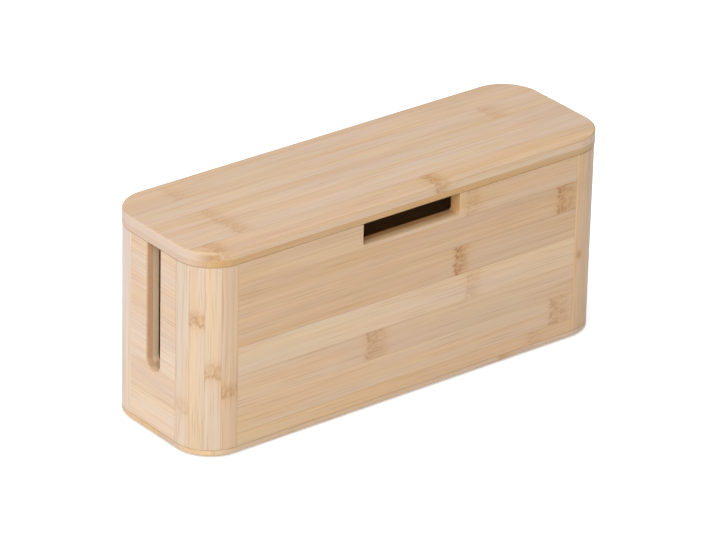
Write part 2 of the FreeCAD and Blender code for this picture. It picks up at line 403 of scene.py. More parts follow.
cut_group, given, wanted = new_group(
    "cut wood",
    [("Normal", "Vector"), ("Along", "Vector"), ("Square", "Float")],
    [("Cut", "Float"), ("Eased", "Float")],
)
tree = cut_group
facing = add_node(tree, "VectorMath", {0: given["Normal"], 1: given["Along"]}, operation="DOT_PRODUCT")
turned = calc(tree, "ABSOLUTE", facing.outputs["Value"])
fill(tree, wanted["Cut"], soft_step(tree, turned, *CUT_RANGE))
outwards = add_node(tree, "VectorMath", {0: given["Normal"]}, operation="ABSOLUTE").outputs[0]
shares = add_node(tree, "SeparateXYZ", {0: outwards}).outputs
largest = calc(tree, "MAXIMUM", calc(tree, "MAXIMUM", shares["X"], shares["Y"]), shares["Z"])
between_faces = soft_step(tree, largest, *BETWEEN_FACES_RANGE)
tilt = calc(tree, "MULTIPLY", shares["Z"], shares["Z"])
level = calc(tree, "SUBTRACT", 1.0, tilt)
half_up = soft_step(tree, calc(tree, "MULTIPLY", tilt, level), *HALF_UP_RANGE)
fill(tree, wanted["Eased"], mix_value(tree, given["Square"], half_up, between_faces))
print(cut_group.name, "has", len(cut_group.nodes), "nodes")

# %% [markdown]
# ## The bamboo colour
#
# This group mixes what the others found. One ramp from brown to straw could do it in a single
# node, but then no effect could be made stronger without the rest. Here each has a share of its
# own. The colour starts between a deep and a pale bamboo by the strip's own tone. Streaks, lines
# and fibres shade it, culm nodes and glue joints lie over it, cut wood is stained, and eased
# edges get a painted shade. Lines show more on a deep strip than on a pale one. The deep and the
# pale come from the board, because no two boards are from the same stalk; on the ends and the
# posts they also hold painted light, set by the light that falls on each. The cast is a factor
# on top: warm wood has a little more red and much less blue, and the warmth changes from strip
# to strip and slowly along each.


# %% Group: bamboo colour
def tone(red, green, blue):
    """A colour typed as a screen shows it, 0 to 255, turned into the linear light of a shader.

    This is the sRGB curve: a straight line near black, and a power of 2.4 above it."""
    shares = [value / 255.0 for value in (red, green, blue)]
    linear = [s / 12.92 if s <= 0.04045 else ((s + 0.055) / 1.055) ** 2.4 for s in shares]
    return (*linear, 1.0)


FIBRE_BROWN = tone(170, 127, 84)
LINE_BROWN = tone(188, 148, 104)
NODE_BROWN = tone(163, 108, 57)
HALO_TAN = tone(206, 160, 102)
JOINT_BROWN = tone(170, 130, 88)
# Painted shade: this darker tan on the eased edges damps the highlight that the light draws there.
EDGE_SHADE_TAN = tone(192, 158, 118)
LINE_SHARE = 0.23
LINE_ON_DEEP, LINE_ON_PALE = 1.4, 0.6
STREAK_REACH = 0.38
DRIFT_REACH = 0.5
WARM_CAST = (0.10, 0.0, -0.30)
ROSE_CAST = (0.02, -0.02, 0.0)

colour_group, given, wanted = new_group(
    "bamboo colour",
    [("Deep", "Color"), ("Pale", "Color")]
    + [(title, "Float") for title in ("Tone", "Streak", "Line", "Fibre", "Mark", "Halo", "Joint")]
    + [(title, "Float") for title in ("Warmth", "Drift", "Rose", "Cut", "Cut Stain", "Eased")]
    + [("Cut Colour", "Color")],
    [("Color", "Color")],
)
tree = colour_group
swing = calc(tree, "MULTIPLY", calc(tree, "SUBTRACT", given["Streak"], 0.5), STREAK_REACH)
colour = mix_colour(tree, calc(tree, "ADD", given["Tone"], swing), given["Deep"], given["Pale"])
drift = calc(tree, "MULTIPLY", calc(tree, "SUBTRACT", given["Drift"], 0.5), DRIFT_REACH)
warmth = calc(tree, "ADD", calc(tree, "SUBTRACT", given["Warmth"], 0.5), drift)
rose = calc(tree, "SUBTRACT", given["Rose"], 0.5)
cast = scaled_vector(tree, warmth, WARM_CAST, (1.0, 1.0, 1.0))
cast = scaled_vector(tree, rose, ROSE_CAST, cast)
colour = add_node(tree, "VectorMath", {0: colour, 1: cast}, operation="MULTIPLY").outputs[0]
depth = calc(tree, "MULTIPLY_ADD", given["Tone"], LINE_ON_PALE - LINE_ON_DEEP, LINE_ON_DEEP)
grain = calc(tree, "MULTIPLY", calc(tree, "MULTIPLY", given["Line"], depth), LINE_SHARE)
colour = mix_colour(tree, grain, colour, LINE_BROWN)
for mask, share, paint in (
    ("Fibre", 0.30, FIBRE_BROWN),
    ("Halo", 0.60, HALO_TAN),
    ("Joint", 0.40, JOINT_BROWN),
    ("Mark", 0.90, NODE_BROWN),
    # painted shade on the eased edges, against their highlight
    ("Eased", 0.55, EDGE_SHADE_TAN),
):
    colour = mix_colour(tree, calc(tree, "MULTIPLY", given[mask], share), colour, paint)
stain = calc(tree, "MULTIPLY", given["Cut"], given["Cut Stain"])
fill(tree, wanted["Color"], mix_colour(tree, stain, colour, given["Cut Colour"]))
print(colour_group.name, "has", len(colour_group.nodes), "nodes")

# %% [markdown]
# ## Satin lacquer
#
# The boards have one thin coat of clear satin lacquer. It is not even: it sinks into fibres and
# cut ends, which stay duller, and hands polish it a little here and there. A broad noise moves
# the roughness up and down by a few hundredths. That is hard to see by itself, but without it a
# wide face looks like plastic. The height is for a bump: fibres and glue joints stand a hair
# low, and a culm node stands proud because it is harder than the wood that was sanded round it.

# %% Group: satin lacquer
SATIN = 0.40
SMUDGE = (38.0 * MM, 26.0 * MM, 26.0 * MM)
SMUDGE_SHIFT = (3.0, 5.0, 7.0)
SMUDGE_REACH = 0.14
PROUD_MARK = 0.6

lacquer_group, given, wanted = new_group(
    "satin lacquer",
    [("Vector", "Vector")]
    + [(title, "Float") for title in ("Fibre", "Line", "Mark", "Joint", "Cut", "Eased")],
    [("Roughness", "Float"), ("Height", "Float")],
)
tree = lacquer_group
smudge = stretched_noise(tree, given["Vector"], SMUDGE, SMUDGE_SHIFT, detail=3.0, roughness=0.6)
rough = calc(tree, "MULTIPLY_ADD", smudge, SMUDGE_REACH, SATIN - SMUDGE_REACH / 2)
for mask, share in (("Fibre", 0.08), ("Cut", 0.18), ("Eased", 0.10), ("Mark", 0.06)):
    rough = calc(tree, "MULTIPLY_ADD", given[mask], share, rough)
height = calc(tree, "MULTIPLY", given["Mark"], PROUD_MARK)
for mask, share in (("Fibre", -0.5), ("Line", -0.25), ("Joint", -1.0)):
    height = calc(tree, "MULTIPLY_ADD", given[mask], share, height)
fill(tree, wanted["Roughness"], rough)
fill(tree, wanted["Height"], height)
print(lacquer_group.name, "has", len(lacquer_group.nodes), "nodes")

# %% [markdown]
# ## A table for strips
#
# The strips that can be told apart on the real box are in short tables: the tone of each, where
# its culm node is, how dark that is, and how warm the strip's colour. A colour ramp with hard
# steps carries such a table into the shader, with the four numbers as its red, green, blue and
# alpha. Strips with no table take theirs from two random nodes, one number set for each strip.

# %% The strip table
CODE_LENGTH = 400.0
NO_LAYERS = -1000.0


def strip_table(tree, strip_number, strips):
    """A stepped ramp, read by the strip's number: (tone, place, strength) as a colour, and warmth."""
    count = len(strips)
    share = calc(tree, "DIVIDE", calc(tree, "ADD", strip_number, 0.5), float(count))
    ramp = add_node(tree, "ValToRGB", {"Fac": share})
    ramp.color_ramp.interpolation = "CONSTANT"
    stops = ramp.color_ramp.elements
    while len(stops) < count:
        stops.new(1.0)
    for index, (strip_tone, node_place, strength, warmth) in enumerate(strips):
        stops[index].position = index / count
        stops[index].color = (strip_tone, node_place / CODE_LENGTH + 0.5, strength, warmth)
    return ramp.outputs["Color"], ramp.outputs["Alpha"]


def chance_table(tree, strip_number, seed):
    """A random (tone, place, strength) as a colour, and a random warmth, for each strip."""
    pair = add_node(tree, "CombineXYZ", {0: strip_number, 1: float(seed)}).outputs[0]
    first = add_node(tree, "TexWhiteNoise", {"Vector": pair}, noise_dimensions="2D")
    pair = add_node(tree, "CombineXYZ", {0: strip_number, 1: seed + 0.5}).outputs[0]
    second = add_node(tree, "TexWhiteNoise", {"Vector": pair}, noise_dimensions="2D")
    return first.outputs["Color"], second.outputs["Value"]


print("strip tables ready")

# %% [markdown]
# ## A row for every strip
#
# A board's face shows its first layer, and its edges show the second as well. The first takes
# its rows from the board's table, if it has one. The second always takes them from chance, in a
# range of tones of its own, because its strips are seen too little to be told apart. Both are
# worked out at every point, and the layer's number, 0 or 1, picks between them.


# %% The row of the strip at a point
def strip_row(tree, lines, seed, options):
    """The strip's tone, its culm node's place and strength, and its warmth."""
    row, far_warmth = chance_table(tree, lines["Strip"], seed)
    far = add_node(tree, "SeparateColor", {0: row}).outputs
    far_tone = mix_value(tree, far[0], *options.get("far_tones", (0.0, 1.0)))
    far_row = add_node(tree, "CombineColor", {0: far_tone, 1: far[1], 2: far[2]}).outputs[0]
    warmth = far_warmth
    if "strips" in options:
        row, warmth = strip_table(tree, lines["Strip"], options["strips"])
    row = mix_colour(tree, lines["Layer"], row, far_row)
    warmth = mix_value(tree, lines["Layer"], warmth, far_warmth)
    parts = add_node(tree, "SeparateColor", {0: row}).outputs
    from_middle = calc(tree, "SUBTRACT", parts[1], 0.5)
    return parts[0], calc(tree, "MULTIPLY", from_middle, CODE_LENGTH * MM), parts[2], warmth


print("strip rows ready")

# %% [markdown]
# ## All the marks of a board
#
# Each strip has one culm node from its row. A few strips show a second one, and some boards have
# a knot or a stain. Adding all these up would make a mark too dark where two of them meet, so the
# strongest one wins at each point, for the brown marks and for the warm wood round them.


# %% Marks of a board
def board_marks(tree, board, lines, own_node, seed, options):
    """The strongest mark and the strongest halo at a point, of culm nodes and spots."""
    found = {"mark": 0.0, "halo": 0.0}
    culm_nodes = [own_node]
    for strip, extra_place, strength in options.get("extra", ()):
        same_strip = calc(tree, "COMPARE", lines["Strip"], float(strip), 0.5)
        culm_nodes.append((extra_place * MM, calc(tree, "MULTIPLY", same_strip, strength)))
    for node_place, strength in culm_nodes:
        sockets = {"Vector": board, "Within": lines["Within"], "Seed": float(seed)}
        culm = use_group(tree, node_group, {**sockets, "Place": node_place, "Strength": strength})
        found["mark"] = calc(tree, "MAXIMUM", culm["Mark"], found["mark"])
        found["halo"] = calc(tree, "MAXIMUM", culm["Halo"], found["halo"])
    for kind, place, radii, strength in options.get("spots", ()):
        sockets = {"Place": Vector(place) * MM, "Radii": Vector(radii) * MM, "Strength": strength}
        spot = use_group(tree, spot_group, {"Vector": board, **sockets})["Spot"]
        found[kind] = calc(tree, "MAXIMUM", spot, found[kind])
    return found["mark"], found["halo"]


print("board marks ready")

# %% [markdown]
# ## Two layers, two colours
#
# The second layer is glued from other strips, so its wood and its cut ends can be of other
# colours than the first layer's; in the walls it is also set deeper, which is painted shade on
# the inside of the box. On the lid, the first layer's side is painted paler than its face: a
# painted highlight for the light that falls on the rim. A second material would need faces that
# end at the joint, but the edge of a board is one face through both layers. So the colours are
# mixed by layer inside the material.

# %% Colours of the two layers
PALE = (218, 192, 163)
DEEP = (206, 170, 131)
CUT_BROWN = (176, 134, 92)


def layer_colour(tree, lines, options, near, far, usual):
    """The option near, or the usual colour, and the option far in the second layer if it is set."""
    first = tone(*options.get(near, usual))
    if far not in options:
        return first
    return mix_colour(tree, lines["Layer"], first, tone(*options[far]))


def painted_highlight_tone(tree, lines, normal, strip_tone, lift):
    """The strip's tone, plus a painted highlight on the upright faces of the first layer."""
    upright = calc(tree, "ABSOLUTE", add_node(tree, "SeparateXYZ", {0: normal}).outputs["Z"])
    on_side = calc(tree, "SUBTRACT", 1.0, calc(tree, "MAXIMUM", upright, lines["Layer"]))
    return calc(tree, "MULTIPLY_ADD", on_side, lift, strip_tone)


print("layer colours ready")

# %% [markdown]
# ## One material for each board
#
# Each board gets its own material, because its strips and culm nodes lie at their own places.
# One material for all would be shorter, but then no two strips could be chosen apart. A Mapping
# node turns the object's coordinates so that X runs along the board's fibres, Y across its strips
# and Z through its thickness. Then the groups follow one another: strips, rows, marks, fibres,
# cut wood, colour, lacquer. The shader itself stays here in the material, where its plain
# numbers are set.

# %% The board material
BUMP_DEPTH = 0.06 * MM
BUMP_STRENGTH = 0.6
CLEAR_COAT = {"Specular IOR Level": 0.5, "Coat Weight": 0.15, "Coat Roughness": 0.35}
X, Y, Z = Vector((1.0, 0.0, 0.0)), Vector((0.0, 1.0, 0.0)), Vector((0.0, 0.0, 1.0))


def new_material(name):
    """A new material, its tree of nodes and its Principled shader."""
    made = bpy.data.materials.new(name)
    made.use_nodes = True
    return made, made.node_tree, made.node_tree.nodes["Principled BSDF"]


def board_material(name, along, across, width, first, layer_joint, seed, **options):
    """Laminated bamboo with its fibres along one direction and its strips side by side in another.

    width, first and layer_joint are in mm: the strips' width, the first joint measured in the
    direction across, and the joint of the two layers measured square to both. The options:
    strips, a table; extra, more marks as (strip, place, strength); spots, as (mark or halo,
    place, radii, strength), along, across and through the board in mm; far_tones, the second
    layer's range of tones; side_lift, the painted highlight that the side of the
    first layer adds to its tone; pale, deep and far_deep, the board's colours; cut_stain,
    cut_colour and far_cut, how cut ends look; streaky and wavy, how strong streaks and waves are;
    square, 1 for a board with no rounds."""
    made, tree, shader = new_material(name)
    to_board = Matrix((along, across, along.cross(across))).to_euler()
    coords = add_node(tree, "TexCoord").outputs
    board = add_node(tree, "Mapping", {"Vector": coords["Object"], "Rotation": to_board}).outputs[0]
    measures = {"Strip Width": width * MM, "First Joint": first * MM, "Layer Joint": layer_joint * MM}
    lines = use_group(tree, strips_group, {"Vector": board, **measures})

    strip_tone, node_place, strength, warmth = strip_row(tree, lines, seed, options)
    mark, halo = board_marks(tree, board, lines, (node_place, strength), seed, options)
    if "side_lift" in options:
        strip_tone = painted_highlight_tone(tree, lines, coords["Normal"], strip_tone, options["side_lift"])
    wavy = {"Seed": float(seed), "Waviness": options.get("wavy", 1.0)}
    threads = use_group(tree, fibres_group, {"Vector": board, "Strip": lines["Strip"], **wavy})
    facing = {"Normal": coords["Normal"], "Along": along, "Square": options.get("square", 0.0)}
    faces = use_group(tree, cut_group, facing)

    shared = {"Fibre": threads["Fibre"], "Line": threads["Line"], "Mark": mark, "Joint": lines["Joint"]}
    shared.update({"Cut": faces["Cut"], "Eased": faces["Eased"]})
    paints = {
        "Deep": layer_colour(tree, lines, options, "deep", "far_deep", DEEP),
        "Pale": tone(*options.get("pale", PALE)),
        "Cut Colour": layer_colour(tree, lines, options, "cut_colour", "far_cut", CUT_BROWN),
        "Cut Stain": options.get("cut_stain", 0.5),
    }
    shades = {
        "Tone": strip_tone,
        "Warmth": warmth,
        "Streak": mix_value(tree, options.get("streaky", 1.0), 0.5, threads["Streak"]),
        "Drift": threads["Drift"],
        "Rose": threads["Rose"],
        "Halo": halo,
    }
    look = use_group(tree, colour_group, {**shared, **paints, **shades})
    coat = use_group(tree, lacquer_group, {**shared, "Vector": board})
    depth = {"Height": coat["Height"], "Strength": BUMP_STRENGTH, "Distance": BUMP_DEPTH}
    fill(tree, shader.inputs["Base Color"], look["Color"])
    fill(tree, shader.inputs["Roughness"], coat["Roughness"])
    fill(tree, shader.inputs["Normal"], add_node(tree, "Bump", depth).outputs[0])
    for title, value in CLEAR_COAT.items():
        shader.inputs[title].default_value = value
    return made


def dress(node_name, material):
    """Gives one piece of the frame its material."""
    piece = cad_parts[node_name]
    piece.data.materials.clear()
    piece.data.materials.append(material)


print("board material ready")

# %% [markdown]
# ## The lid
#
# The lid is one board, 10 mm thick, with its strips along the box. The rows below are its strips
# from front to back. Chance could have picked them, but the lid is what the eye goes to first, so
# they follow the real one. Each holds the tone, from 0 deep to 1 pale, then the place of the culm
# node along the lid in millimetres, then how strong that node's mark is, then how warm the strip
# is. The front strip has a second mark at the near corner, whose warm stain runs over the edge.
# The lower layer, seen all round the rim, is a little deeper. The two battens under the lid run
# across it, and chance is good enough for them.

# %% The lid and its battens
STRIP_WIDTH = 19.5
LID_FIRST = -52.7
LID_STRIPS = [
    (0.40, 23.7, 0.75, 0.65),
    (0.68, -115.5, 0.45, 0.45),
    (0.50, -117.5, 0.28, 0.42),
    (0.62, 116.0, 0.30, 0.38),
    (0.50, -118.5, 0.25, 0.45),
    (0.40, 60.0, 0.10, 0.30),
]
LID_EXTRA = [(0, -143.0, 0.50)]
LID_STAIN = [
    ("halo", (-151.5, -43.5, 135.0), (10.0, 10.0, 6.0), 1.0),
    ("mark", (-152.6, -42.6, 136.2), (9.5, 9.5, 2.4), 0.55),
]
LOWER_LAYER = 4.4
LID_UNDER_DEEP = (201, 156, 98)
LID_END, LID_FAR_END = (214, 189, 168), (210, 183, 160)
LID_SEED, BATTEN_SEED = 3, 11
BATTEN_FIRST = -1.0

lid_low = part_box("lid")[0]
# The lid's upper layer is painted paler on its side than on its face: a painted highlight for the light on
# its rim.
lid_bamboo = board_material(
    "lid_bamboo", X, Y, STRIP_WIDTH, LID_FIRST, lid_low.z / MM + LOWER_LAYER, LID_SEED,
    strips=LID_STRIPS, extra=LID_EXTRA, far_tones=(0.0, 0.15), far_deep=LID_UNDER_DEEP,
    cut_stain=0.85, cut_colour=LID_END, far_cut=LID_FAR_END, side_lift=0.35, spots=LID_STAIN,
    streaky=0.85,
)
dress("lid", lid_bamboo)
batten_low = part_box("lid_batten_left")[0]
batten_bamboo = board_material(
    "batten_bamboo", Y, Z, STRIP_WIDTH, batten_low.z / MM + BATTEN_FIRST, NO_LAYERS, BATTEN_SEED,
    square=1.0,
)
for side in ("left", "right"):
    dress(f"lid_batten_{side}", batten_bamboo)
print("lid strips:", len(LID_STRIPS))

# %% [markdown]
# ## The walls
#
# Front, back and end walls are boards whose strips lie level. The front wall's rows go from
# bottom to top, and so do those of the left end. The back and the right end are turned away, and
# take their strips from chance. The layers could meet at a depth typed in by hand, but how thick
# a wall is and where its outer face lies is in the frame. Read from there, the joint is in the
# middle of the wall whatever its size.

# %% Walls
FRONT_FIRST = -5.0
FRONT_STRIPS = [
    (0.60, 102.5, 0.35, 0.90),
    (0.62, 119.5, 0.60, 0.60),
    (0.47, -28.5, 0.60, 0.44),
    (0.95, 50.0, 0.35, 0.60),
    (0.20, 40.0, 1.00, 0.50),
    (0.20, 122.5, 0.90, 0.50),
    (0.42, 48.5, 0.40, 0.65),
]
FRONT_EXTRA = [(5, 128.0, 0.60), (1, 125.0, 0.50), (2, -22.5, 0.45)]
FRONT_CUT, FRONT_FAR_CUT = (211, 170, 112), (226, 176, 120)
END_FIRST = -12.0
END_TONES = (0.60, 0.90, 0.35, 0.85, 0.50, 0.35, 0.55, 0.45)
END_STRIPS = [(end_tone, 60.0, 0.0, 0.5) for end_tone in END_TONES]
# The ends' pale and deep are paler than the other walls': partly their own wood, and partly painted light for
# the left end, the side where the most light falls. The right end shares them.
END_PALE, END_DEEP = (224, 199, 175), (216, 184, 151)
END_CUT, END_FAR_CUT = (212, 168, 130), (240, 212, 180)
# The second layer's tones and deep are darker than the first's: partly other strips, and partly painted shade
# on the inside of the box and the inner half of each sill.
INNER_TONES = (0.0, 0.35)
INNER_DEEP = (182, 142, 100)
FRONT_SEED, BACK_SEED, LEFT_SEED, RIGHT_SEED = 5, 6, 7, 8

panel_low, panel_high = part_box("front_panel")
front_face = -panel_low.y / MM
end_face = -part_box("left_end_panel")[0].x / MM
half_wall = (panel_high.y - panel_low.y) / MM / 2
front_bamboo = board_material(
    "front_bamboo", X, Z, STRIP_WIDTH, FRONT_FIRST, front_face - half_wall, FRONT_SEED,
    strips=FRONT_STRIPS, extra=FRONT_EXTRA, far_tones=INNER_TONES, far_deep=INNER_DEEP,
    square=1.0, cut_stain=0.7, cut_colour=FRONT_CUT, far_cut=FRONT_FAR_CUT, streaky=0.85,
)
back_bamboo = board_material(
    "back_bamboo", -X, Z, STRIP_WIDTH, FRONT_FIRST, front_face - half_wall, BACK_SEED,
    far_tones=INNER_TONES, far_deep=INNER_DEEP, square=1.0,
)
left_bamboo = board_material(
    "left_end_bamboo", -Y, Z, STRIP_WIDTH, END_FIRST, end_face - half_wall, LEFT_SEED,
    strips=END_STRIPS, far_tones=INNER_TONES, pale=END_PALE, deep=END_DEEP, far_deep=INNER_DEEP,
    square=1.0, cut_stain=0.8, cut_colour=END_CUT, far_cut=END_FAR_CUT, streaky=0.5,
)
right_bamboo = board_material(
    "right_end_bamboo", Y, Z, STRIP_WIDTH, END_FIRST, end_face - half_wall, RIGHT_SEED,
    far_tones=INNER_TONES, pale=END_PALE, deep=END_DEEP, far_deep=INNER_DEEP, square=1.0,
    cut_stain=0.8, cut_colour=END_CUT, far_cut=END_FAR_CUT, streaky=0.5,
)
dress("front_panel", front_bamboo)
dress("back_panel", back_bamboo)
dress("left_end_panel", left_bamboo)
dress("right_end_panel", right_bamboo)
print("wall thickness in mm:", round((panel_high.y - panel_low.y) / MM, 2))

# %% [markdown]
# ## The corner posts
#
# A post is cut from a thick block with upright fibres, and its outside is a quarter round. Its
# strips are narrower, and they show one after another round the curve. Strips counted along X or
# Y would look far too wide on one side of the round. So they are laid square to the diagonal of
# the corner, and each has its culm node at its own height. The fibres of a post are also wavier
# than those of the boards.

# %% Corner posts
POST_STRIP = 9.9
CORNER_ROUND = 26.0
# Each post has its own pale and deep: partly its own wood, and partly painted light. The near post is set
# cooler against the warm main light on it, the right posts warmer against the cool light from above, and the
# back left post paler, like the left end, where the most light falls.
NEAR_POST = {"pale": (219, 197, 172), "deep": (207, 176, 143)}
NEAR_POST["strips"] = [
    (0.75, 33.5, 0.30, 0.50),
    (0.62, 94.2, 0.70, 0.50),
    (0.70, 59.6, 0.65, 0.50),
    (0.26, 45.9, 0.60, 0.45),
]
FAR_POST = {"pale": (223, 191, 158), "deep": (211, 176, 136)}
KNOT_POST = dict(FAR_POST)
KNOT_POST["strips"] = [
    (0.35, 110.0, 0.10, 0.70),
    (0.50, 20.0, 0.15, 0.70),
    (0.60, 90.0, 0.10, 0.70),
]
KNOT_POST["spots"] = [
    ("halo", (58.9, 61.9, -132.3), (5.0, 3.0, 8.0), 1.0),
    ("mark", (58.9, 61.7, -132.3), (2.6, 1.5, 6.0), 0.5),
]
LEFT_POST = {"pale": (226, 206, 187), "deep": (216, 190, 164)}
LEFT_POST["strips"] = [
    (0.60, 110.0, 0.00, 0.45),
    (0.50, 20.0, 0.00, 0.40),
    (0.60, 90.0, 0.00, 0.45),
]
POST_OPTIONS = {"front_left": NEAR_POST, "front_right": KNOT_POST, "back_left": LEFT_POST}
POST_SEED = 20
CORNERS = {"front_left": (-1, -1), "front_right": (1, -1), "back_left": (-1, 1), "back_right": (1, 1)}

corner_x = end_face - CORNER_ROUND
corner_y = front_face - CORNER_ROUND
for seed, (name, (side_x, side_y)) in enumerate(CORNERS.items(), start=POST_SEED):
    across = Vector((-side_y, side_x, 0.0)).normalized()
    middle = across.dot(Vector((side_x * corner_x, side_y * corner_y, 0.0)))
    post_bamboo = board_material(
        f"post_{name}_bamboo", Z, across, POST_STRIP, middle - 2 * POST_STRIP, NO_LAYERS, seed,
        wavy=2.5, streaky=0.7, **POST_OPTIONS.get(name, FAR_POST),
    )
    dress(f"post_{name}", post_bamboo)
print("posts dressed:", len(CORNERS))

# %% [markdown]
# ## The bottom board
#
# Only a thin edge of it shows under the walls, and the rest when the lid is off. It could be
# dressed as the lid is, but it is thinner: a single layer with its strips along the box, so no
# joint may show on its edge. Its first joint is set over a little, or it would lie under the
# lid's.

# %% The bottom board
BOTTOM_SEED = 31
BOTTOM_PALE, BOTTOM_DEEP = (220, 194, 164), (209, 175, 138)
BOTTOM_FIRST = LID_FIRST + STRIP_WIDTH / 3

bottom_bamboo = board_material(
    "bottom_bamboo", X, Y, STRIP_WIDTH, BOTTOM_FIRST, NO_LAYERS, BOTTOM_SEED,
    pale=BOTTOM_PALE, deep=BOTTOM_DEEP, cut_stain=0.1,
)
dress("bottom_board", bottom_bamboo)
print("bottom board dressed")

# %% [markdown]
# ## Turned pieces
#
# Screws and pads are round, and a lathe is the natural way to think of them: a profile is carried
# round an axis. With numpy the whole surface is one sum. Each point is the profile's radius
# times the cosine and sine of an angle, at the profile's height, for a grid of rings and angles.
# The first and the last ring each close in one point, so nothing is left open.

# %% Turned surfaces
COLUMNS = 64
ANGLES = np.arange(COLUMNS) * 2.0 * np.pi / COLUMNS


def turned_points(radius, height):
    """(radius cos a, radius sin a, height) for rings by angles, with one point at each end.

    radius and height are arrays of rings by angles, or of rings by one. Each end point lies on
    the axis, at the mean height of the ring beside it."""
    x, y, z = np.broadcast_arrays(radius * np.cos(ANGLES), radius * np.sin(ANGLES), height)
    rings = np.stack([x, y, z], axis=-1).reshape(-1, 3)
    return np.concatenate([[(0.0, 0.0, z[0].mean())], rings, [(0.0, 0.0, z[-1].mean())]])


def turned_faces(rings):
    """Squares between neighbouring rings and a fan of triangles at each end, facing outwards."""
    first = np.arange(COLUMNS) + 1
    after = (np.arange(COLUMNS) + 1) % COLUMNS + 1
    starts = np.arange(rings - 1)[:, None] * COLUMNS
    near, far = starts + first, starts + after
    squares = np.stack([near, far, far + COLUMNS, near + COLUMNS], axis=-1).reshape(-1, 4)
    last = (rings - 1) * COLUMNS
    start_fan = np.stack([np.zeros_like(first), after, first], axis=-1)
    end_fan = np.stack([np.full_like(first, last + COLUMNS + 1), first + last, after + last], axis=-1)
    return squares, np.concatenate([start_fan, end_fan])


print("a turned piece has", COLUMNS, "points in each ring")

# %% [markdown]
# ## From points to a piece
#
# Like pieces, such as four screws, are one mesh: the same points once for each place. Beside its
# place, each point keeps the cosine and sine of its angle and the way walked along the profile.
# A material can read these to draw marks that run round the piece, as a tool or mould leaves
# them. Then the piece is told which body it moves with, and the piece of the frame that it
# stands for is hidden.

# %% Pieces from turned surfaces
SHARP_EDGE = math.radians(35.0)
ROUND_MARKS = "round_marks"
scene = bpy.context.scene


def add_object(name, data):
    """Puts a mesh, a light or a camera into the scene."""
    made = bpy.data.objects.new(name, data)
    scene.collection.objects.link(made)
    return made


def turned_piece(name, radius, height, centres, material, stands_for):
    """One object that holds the turned shape at each centre, in place of one node of the frame."""
    points = turned_points(radius, height)
    squares, fans = turned_faces(len(height))
    starts = np.arange(len(centres))[:, None, None] * len(points)
    faces = (squares + starts).reshape(-1, 4).tolist() + (fans + starts).reshape(-1, 3).tolist()
    places = (points + np.array(centres)[:, None, :]).reshape(-1, 3)
    mesh = bpy.data.meshes.new(name)
    mesh.from_pydata(places.tolist(), [], faces)
    mesh.shade_smooth()
    mesh.set_sharp_from_angle(angle=SHARP_EDGE)

    steps = np.hypot(np.diff(radius[:, 0]), np.diff(height[:, 0]))
    walked = np.concatenate([[0.0], np.cumsum(steps)])[:, None]
    rings = np.stack(np.broadcast_arrays(np.cos(ANGLES), np.sin(ANGLES), walked), axis=-1).reshape(-1, 3)
    marks = np.concatenate([[(0.0, 0.0, 0.0)], rings, [(0.0, 0.0, walked[-1, 0])]])
    stored = mesh.attributes.new(ROUND_MARKS, "FLOAT_VECTOR", "POINT")
    stored.data.foreach_set("vector", np.tile(marks, (len(centres), 1)).ravel())

    mesh.materials.append(material)
    piece = add_object(name, mesh)
    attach(piece, "box")
    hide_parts(stands_for)
    print(name, "has", len(mesh.polygons), "faces")
    return piece


print("turned pieces ready")

# %% [markdown]
# ## Dust and handling
#
# Steel and rubber both pick up fine specks of dust, and bamboo dust is pale. Grains could be
# strewn as small meshes, but they would be lost at this size, so colour is enough. One group
# draws it: a noise with a high threshold gives sparse specks, and a broad noise lets them gather.

# %% Group: fine dust
SPECK = (0.45 * MM, 0.45 * MM, 0.45 * MM)
GATHER = (6.0 * MM, 6.0 * MM, 6.0 * MM)
SPECK_SHIFT, GATHER_SHIFT = (1.0, 2.0, 3.0), (4.0, 5.0, 6.0)
DUST = tone(196, 180, 160)
SPECK_RANGE = (0.58, 0.72)
GATHER_RANGE = (0.35, 0.65)

dust_group, given, wanted = new_group(
    "fine dust",
    [("Vector", "Vector"), ("Amount", "Float")],
    [("Dust", "Float")],
)
tree = dust_group
specks = stretched_noise(tree, given["Vector"], SPECK, SPECK_SHIFT, detail=1.0)
gathered = stretched_noise(tree, given["Vector"], GATHER, GATHER_SHIFT)
specks = soft_step(tree, specks, *SPECK_RANGE)
dusty = calc(tree, "MULTIPLY", specks, soft_step(tree, gathered, *GATHER_RANGE))
fill(tree, wanted["Dust"], calc(tree, "MULTIPLY", dusty, given["Amount"]))
print(dust_group.name, "has", len(dust_group.nodes), "nodes")

# %% [markdown]
# ## The screws
#
# Four countersunk screws hold the bottom board to the posts. From below only their heads show,
# sunk level with the board, each with a cross-shaped recess for the driver. The profile goes out
# over the head, in along the cone, up the thread and to the point. A thread could be wound as a
# body of its own and joined on, and the recess cut out with another. On a grid both are only a
# shift of its points, and the surface stays one. The thread is a ripple on the radius whose phase
# turns once for each pitch, so it climbs as a real one does. The recess is a dip in the head
# wherever a point lies inside one of two crossed bars.

# %% Screw shape
SCREW_HEAD = 3.0 * MM
SCREW_CORE = 1.05 * MM
SCREW_OUTER = 1.5 * MM
SCREW_PITCH = 1.3 * MM
HEAD_CHAMFER = 0.15 * MM
SHANK_START = 2.4 * MM
POINT_LENGTH = 3.0 * MM
BAR_HALF_WIDTH = 0.42 * MM
BAR_LENGTH = 1.85 * MM
BAR_EDGE = 0.22 * MM
RECESS_DEPTH = 1.3 * MM
RECESS_RISE = 0.4
FIRST_RING = 0.1 * MM
POINT_SHARE = 0.02
RIDGE_SHARPNESS = 2.6
HEAD_RINGS, THREAD_RINGS = 18, 72

